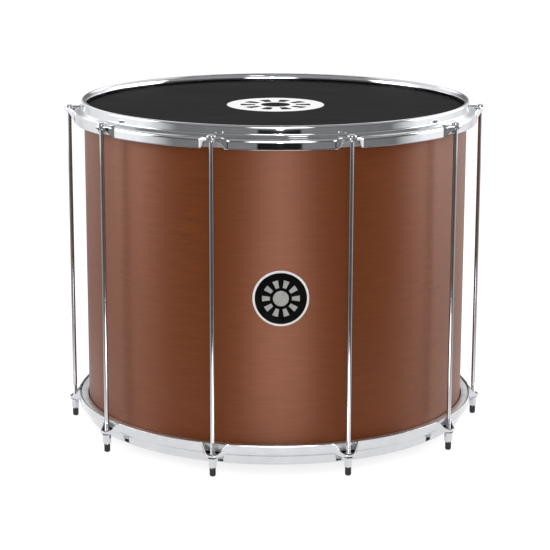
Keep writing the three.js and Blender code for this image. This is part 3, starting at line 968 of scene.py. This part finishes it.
# What a mirror sees of the floor away from the drum: its brightness by degrees from the front, and how
# much of that dimming there is at each distance from the axis.
DIM_FLOOR = [
    (-160, 0.5), (-130, 0.4), (-90, 0.45), (-62, 0.3), (-42, 0.1), (42, 0.1), (62, 0.35), (90, 0.55),
    (130, 0.65), (160, 1.0),
]
DIM_FLOOR_SHARES = [(0.45, 0.0), (0.62, 0.45), (0.8, 0.85), (1.0, 1.0), (2.38, 1.0)]
DIM_FLOOR_LIFT = 1.0 * MM

# The bright patch that a mirror sees on the floor close in front: its brightness, degrees and radii.
FRONT_GLOW = 5.0
FRONT_GLOW_DEGREES = [-16, -12, 13, 17]
FRONT_GLOW_RADII = [0.42, 0.5, 0.8, 0.9]
FRONT_GLOW_LIFT = 1.5 * MM


def looked_up(table, values):
    """What a table of places and levels says at each value."""
    return [np.interp(value, *np.array(table, float).T) for value in values]


def on_circle(radius, degrees, height):
    """A point at some degrees from the front."""
    return around(radius, math.radians(degrees), height)


def glowing_sheet(name, grid, brightness, scatters=True):
    """A stage surface over a grid of points, as bright at each point as given, that no camera sees.
    Where it doesn't scatter, only mirrors see it."""
    n = Nodes(name)
    glow = n.add("ShaderNodeAttribute", attribute_name="glow")
    n.surface(Base_Color=grey(0), Roughness=1.0, Specular_IOR_Level=0.0)
    n.surface(Emission_Color=grey(1), Emission_Strength=glow.outputs["Fac"])
    vertices = [point for row in grid for point in row]
    sheet = plain_object(name, vertices, grid_faces(len(grid), len(grid[0]), False, False), n.material)
    layer = sheet.data.attributes.new("glow", "FLOAT", "POINT")
    layer.data.foreach_set("value", np.array(brightness, np.float32).ravel())
    sheet.visible_camera = False
    sheet.visible_diffuse = scatters
    sheet.visible_shadow = scatters


def build_room():
    """A curved wall of soft light with its bright panels, and a ceiling over it."""
    degrees = range(-180, 181, 2)
    wall = [[on_circle(WALL_RADIUS, d, height) for d in degrees] for height, _ in WALL_LEVELS]
    glowing_sheet("soft_wall", wall, [looked_up(table, degrees) for _, table in WALL_LEVELS])
    top = WALL_LEVELS[-1][0]
    ceiling = [[on_circle(radius, d, top) for d in degrees] for radius, _ in CEILING_BACK]
    brightness = [[level if abs(d) > CEILING_BACK_DEGREES else CEILING_FRONT for d in degrees]
                  for _, level in CEILING_BACK]
    glowing_sheet("ceiling", ceiling, brightness)


def build_dim_floor():
    """A sheet on the floor that shows mirrors a dimmer floor away from the drum."""
    degrees = range(-160, 161, 5)
    dim = looked_up(DIM_FLOOR, degrees)
    grid = [[on_circle(radius, d, DIM_FLOOR_LIFT) for d in degrees] for radius, _ in DIM_FLOOR_SHARES]
    brightness = [[1 + (level - 1) * share for level in dim] for _, share in DIM_FLOOR_SHARES]
    glowing_sheet("dim_floor", grid, brightness, scatters=False)


def build_front_glow():
    """A sheet that shows mirrors a bright patch of floor close in front of the drum."""
    grid = [[on_circle(radius, d, FRONT_GLOW_LIFT) for d in FRONT_GLOW_DEGREES]
            for radius in FRONT_GLOW_RADII]
    edge = [1.0, 1.0, 1.0, 1.0]
    middle = [1.0, FRONT_GLOW, FRONT_GLOW, 1.0]
    glowing_sheet("front_glow", grid, [edge, middle, middle, edge], scatters=False)


CARD_RADIUS = 2.2
CARD_HEIGHT = 0.3
CARD_DEGREES = (-10.95, 11.95)


def build_dark_card():
    """A dark card low in front of the drum."""
    n = Nodes("dark_card")
    tone = n.blend(n.spread(n.noise(50.0), 0, 1), grey(0.012), grey(0.02))
    n.surface(Base_Color=tone, Roughness=1.0, Specular_IOR_Level=0.0)
    vertices = [on_circle(CARD_RADIUS, d, z) for z in (0.0, CARD_HEIGHT) for d in CARD_DEGREES]
    card = plain_object("front_card", vertices, [(0, 1, 3, 2)], n.material)
    card.visible_camera = False


def build_lamp(name, place, target, width, height, radiance, seen=True):
    """A rectangular soft lamp of an even radiance."""
    light = bpy.data.lights.new(name, "AREA")
    light.shape = "RECTANGLE"
    light.size = width
    light.size_y = height
    light.energy = radiance * math.pi * width * height
    lamp = new_object(name, light)
    lamp.location = place
    lamp.rotation_euler = (Vector(target) - Vector(place)).to_track_quat("-Z", "Y").to_euler()
    lamp.visible_camera = False
    lamp.visible_glossy = seen


def build_lamps():
    """Two strips that the chrome mirrors, and a large soft lamp that it doesn't."""
    build_lamp("front_strip", (0.03, -2.25, 0.8), (0.03, 0, 0.7), width=0.09, height=0.96, radiance=34.0)
    build_lamp("upper_strip", (0.27, -1.03, 1.84), (0, -0.1, 0.4), width=0.24, height=0.2, radiance=4.0)
    build_lamp("overhead", (0.0, -0.3, 1.75), (0, 0, 0.4), width=1.4, height=1.1, radiance=0.6, seen=False)


def build_world():
    world = bpy.data.worlds.new("white_room")
    bpy.context.scene.world = world
    world.use_nodes = True
    back = world.node_tree.nodes["Background"]
    back.inputs["Color"].default_value = grey(1)
    back.inputs["Strength"].default_value = 1.0


# Camera, found from the hoops, rods and tips in the photograph. Angles are in degrees.
CAMERA_DISTANCE = 2800 * MM
CAMERA_HEIGHT = 867.4 * MM
CAMERA_AZIMUTH = -1.65
CAMERA_PITCH = 13.09
CAMERA_ROLL = 0.162
IMAGE_PIXELS = 550
FOCAL_PIXELS = 1925.3
SENSOR_WIDTH = 36.0


def build_camera():
    data = bpy.data.cameras.new("camera")
    data.sensor_width = SENSOR_WIDTH
    data.lens = FOCAL_PIXELS / IMAGE_PIXELS * SENSOR_WIDTH
    data.clip_start = 0.05
    data.clip_end = 60.0
    camera = new_object("camera", data)
    azimuth, pitch, roll = (math.radians(d) for d in (CAMERA_AZIMUTH, CAMERA_PITCH, CAMERA_ROLL))
    camera.location = around(CAMERA_DISTANCE, azimuth, CAMERA_HEIGHT)
    look = -Vector(around(1, azimuth, 0)) * math.cos(pitch) - Vector((0, 0, math.sin(pitch)))
    turn = look.to_track_quat("-Z", "Y").to_matrix()
    camera.rotation_euler = (turn @ Matrix.Rotation(roll, 3, "Z")).to_euler()
    bpy.context.scene.camera = camera


def build_drum():
    head = film("black_film", colour(32, 31, 32), colour(25, 24, 25))
    head_white = film("white_print", colour(247, 247, 247), colour(240, 240, 240))
    head_black = film("black_print", colour(26, 25, 26), colour(20, 19, 20))
    hoop_metal = chrome("hoop_chrome")
    aluminium = brushed_aluminium()
    grid = hoop_grid()

    build_shell(stained_wood(), raw_wood())
    for end in ("top", "bottom"):
        build_head(end, head, head_white, head_black)
        build_flesh_hoop(end, aluminium)
        build_hoop(end, grid, hoop_metal)
    build_rods(chrome("rod_chrome", 0.08), chrome("nut_chrome", 0.12), dark_washer_metal(), rubber())
    build_badge(
        enamel("badge_black", colour(4, 4, 5), colour(8, 8, 9), 0.08, 0.35),
        enamel("badge_white", colour(232, 232, 231), colour(240, 240, 239), 0.2),
        enamel("badge_grey", colour(160, 160, 156), colour(170, 170, 166), 0.25),
    )


def build_studio():
    build_world()
    build_floor()
    build_room()
    build_dim_floor()
    build_front_glow()
    build_dark_card()
    build_lamps()
    build_camera()
    bpy.context.scene.view_settings.view_transform = "Standard"


build_drum()
build_studio()
